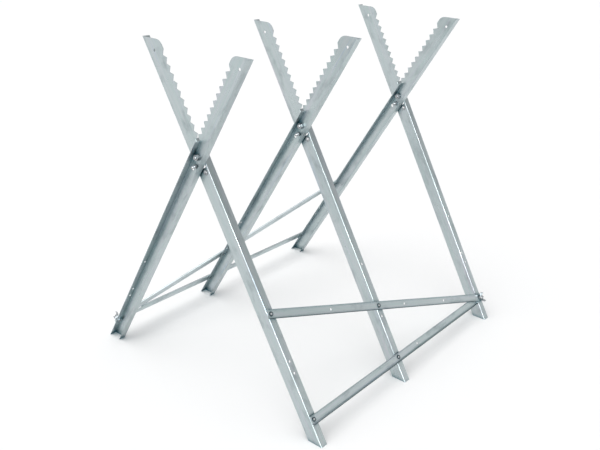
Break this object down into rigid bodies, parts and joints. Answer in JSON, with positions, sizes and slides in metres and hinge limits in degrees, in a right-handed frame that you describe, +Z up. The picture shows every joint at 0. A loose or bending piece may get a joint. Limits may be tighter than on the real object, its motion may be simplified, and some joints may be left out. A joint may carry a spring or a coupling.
{
  "type": "folding sawhorse",
  "caption": "Folding steel sawhorse for sawing logs: crossed channel legs with toothed upper arms, low bracing strips and wing nuts.",
  "frame": {"origin": "on the ground, in the middle of the footprint of the opened sawhorse", "axes": "+X across the sawhorse towards the right-hand legs, +Y along the log from the front cross to the rear cross, +Z up"},
  "size_m": [0.7646, 0.8482, 0.848],
  "materials": {
    "zinc_leg": "zinc-plated pressed sheet steel, smooth with faint rolling streaks",
    "zinc_strip": "zinc-plated folded strip steel, slightly duller than the legs",
    "zinc_fastener": "bright zinc-plated bolts, nuts and washers",
    "zinc_rivet": "zinc-plated rivets and eyelets"
  },
  "bodies": {
    "right_side": {"right_leg_front": "zinc_leg", "right_leg_middle": "zinc_leg", "right_leg_rear": "zinc_leg", "pivot_bolt_front": "zinc_fastener", "pivot_spacer_front": "zinc_fastener", "pivot_washer_front": "zinc_fastener", "pivot_nut_front": "zinc_fastener", "eyelet_front": "zinc_rivet", "pivot_bolt_middle": "zinc_fastener", "pivot_spacer_middle": "zinc_fastener", "pivot_washer_middle": "zinc_fastener", "pivot_nut_middle": "zinc_fastener", "eyelet_middle": "zinc_rivet", "pivot_bolt_rear": "zinc_fastener", "pivot_spacer_rear": "zinc_fastener", "pivot_washer_rear": "zinc_fastener", "pivot_nut_rear": "zinc_fastener", "eyelet_rear": "zinc_rivet", "right_lower_strip": "zinc_strip", "right_upper_strip": "zinc_strip", "right_lower_rivet_middle": "zinc_rivet", "right_upper_rivet_middle": "zinc_rivet", "right_lower_rivet_front": "zinc_rivet", "right_upper_rivet_front": "zinc_rivet", "right_strip_bolt": "zinc_fastener", "right_strip_washer": "zinc_fastener"},
    "left_side": {"left_leg_front": "zinc_leg", "left_leg_middle": "zinc_leg", "left_leg_rear": "zinc_leg", "stop_bolt_front": "zinc_fastener", "stop_nut_front": "zinc_fastener", "stop_bolt_middle": "zinc_fastener", "stop_nut_middle": "zinc_fastener", "stop_bolt_rear": "zinc_fastener", "stop_nut_rear": "zinc_fastener", "left_lower_strip": "zinc_strip", "left_upper_strip": "zinc_strip", "left_lower_rivet_middle": "zinc_rivet", "left_upper_rivet_middle": "zinc_rivet", "left_lower_rivet_rear": "zinc_rivet", "left_upper_rivet_rear": "zinc_rivet", "left_strip_bolt": "zinc_fastener", "left_strip_washer": "zinc_fastener"},
    "right_wing_nut": {"right_wing_nut": "zinc_fastener"},
    "left_wing_nut": {"left_wing_nut": "zinc_fastener"}
  },
  "joints": [
    {"name": "fold", "type": "hinge", "parent": "right_side", "child": "left_side", "pos_m": [0, 0, 0.614], "axis": [0, -1, 0], "range_deg": [0, 59]},
    {"name": "right_wing_nut_turn", "type": "hinge", "parent": "right_side", "child": "right_wing_nut", "pos_m": [0.35064, 0.411, 0.06287], "axis": [0.8572, 0, 0.515], "continuous": true},
    {"name": "left_wing_nut_turn", "type": "hinge", "parent": "left_side", "child": "left_wing_nut", "pos_m": [-0.35064, -0.411, 0.06287], "axis": [-0.8572, 0, 0.515], "continuous": true}
  ]
}
